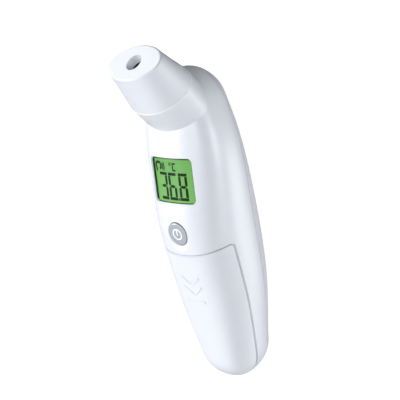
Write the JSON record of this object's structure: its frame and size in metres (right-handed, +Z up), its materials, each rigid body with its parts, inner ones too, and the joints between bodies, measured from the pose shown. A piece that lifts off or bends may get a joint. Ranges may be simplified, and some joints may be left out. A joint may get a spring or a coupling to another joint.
{
  "type": "non-contact infrared thermometer",
  "caption": "Handheld forehead infrared thermometer with an angled oval nozzle, backlit display, power button and a slide-off battery cover.",
  "frame": {"origin": "middle of the footprint on the table, with the thermometer lying on the small flat of its back", "axes": "+X across the handle, +Y along the handle toward the nozzle, +Z up out of the display side"},
  "size_m": [0.0416, 0.153, 0.0466],
  "materials": {
    "casing_white": "glossy moulded plastic",
    "cover_white": "glossy moulded plastic",
    "nozzle_white": "glossy moulded plastic",
    "gasket_rubber": "soft seal",
    "baffle_black": "matt black",
    "sleeve_metal": "turned",
    "can_metal": "plated can",
    "filter_dark": "coated filter",
    "board_green": "solder mask",
    "contact_metal": "nickel plated",
    "window_clear": "clear polished",
    "lcd_face": "backlit green",
    "foam_black": "foam",
    "acrylic_clear": "clear acrylic",
    "frame_white": "matt",
    "led_cream": "encapsulated",
    "zebra_rubber": "striped elastomer",
    "button_grey": "satin grey",
    "switch_black": "matt",
    "plunger_white": "satin",
    "chip_black": "moulded package",
    "chip_brown": "ceramic",
    "buzzer_black": "moulded",
    "socket_cream": "moulded",
    "ribbon_amber": "polyimide",
    "tray_white": "satin moulded",
    "cell_jacket": "printed jacket",
    "lead_red": "insulated wire",
    "lead_black": "insulated wire",
    "screw_steel": "plated steel"
  },
  "bodies": {
    "casing": {"front_shell": "casing_white", "rear_shell": "casing_white", "nozzle": "nozzle_white", "nozzle_gasket": "gasket_rubber", "sensor_baffle": "baffle_black", "sensor_sleeve": "sleeve_metal", "sensor_can": "can_metal", "sensor_filter": "filter_dark", "sensor_board": "board_green", "sensor_pins": "contact_metal", "display_window": "window_clear", "lcd_panel": "lcd_face", "window_gasket": "foam_black", "light_guide": "acrylic_clear", "lcd_frame": "frame_white", "backlight_leds": "led_cream", "zebra_strip": "zebra_rubber", "tact_switch": "switch_black", "main_board": "board_green", "microcontroller": "chip_black", "board_parts": "chip_brown", "buzzer": "buzzer_black", "sensor_socket": "socket_cream", "sensor_ribbon": "ribbon_amber", "battery_tray": "tray_white", "battery_left": "cell_jacket", "battery_right": "cell_jacket", "contact_springs": "contact_metal", "contact_plates": "contact_metal", "lead_red": "lead_red", "lead_black": "lead_black", "board_screws": "screw_steel", "tray_screws": "screw_steel"},
    "button": {"power_button": "button_grey"},
    "plunger": {"switch_plunger": "plunger_white"},
    "cover": {"battery_cover": "cover_white"}
  },
  "joints": [
    {"name": "button_press", "type": "slide", "parent": "casing", "child": "button", "axis": [0, 0.0314, -0.9995], "range_m": [0, 0.0005], "stiffness_N_per_m": 3000, "springref_m": -0.0002},
    {"name": "switch_press", "type": "slide", "parent": "casing", "child": "plunger", "axis": [0, 0.0314, -0.9995], "range_m": [0, 0.0005]},
    {"name": "battery_cover_slide", "type": "slide", "parent": "casing", "child": "cover", "axis": [0, -0.9995, -0.0314], "range_m": [0, 0.07]}
  ],
  "couplings": [
    {"joint": "switch_press", "follows": "button_press", "ratio": 1}
  ]
}
